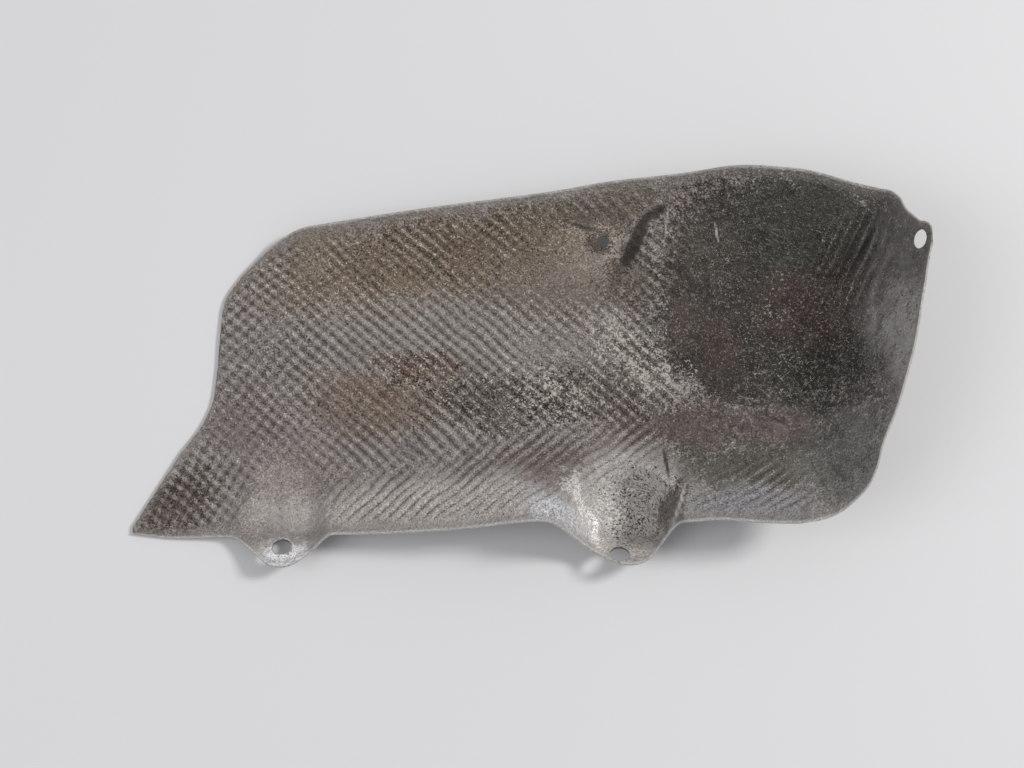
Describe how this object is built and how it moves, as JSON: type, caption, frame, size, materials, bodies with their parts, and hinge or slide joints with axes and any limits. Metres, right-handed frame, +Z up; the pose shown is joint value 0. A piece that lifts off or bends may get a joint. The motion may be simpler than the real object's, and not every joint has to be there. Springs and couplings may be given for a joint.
{
  "type": "heat shield",
  "caption": "Pressed and dimpled aluminium heat shield for an engine bay: a lipped panel that runs into a deep bowl, with two ears, a lug and a pad for its fixings.",
  "frame": {"origin": "middle of the footprint, on the surface that the shield rests on with its open side up", "axes": "+X along the shield from the pointed tip to the bowl, +Y across it to the top edge, +Z up out of the open side"},
  "size_m": [0.3544, 0.1789, 0.0589],
  "materials": {
    "aged_aluminium": "dull, dirty and heat-stained embossed sheet"
  },
  "bodies": {
    "root": {"heat_shield": "aged_aluminium"}
  },
  "joints": []
}
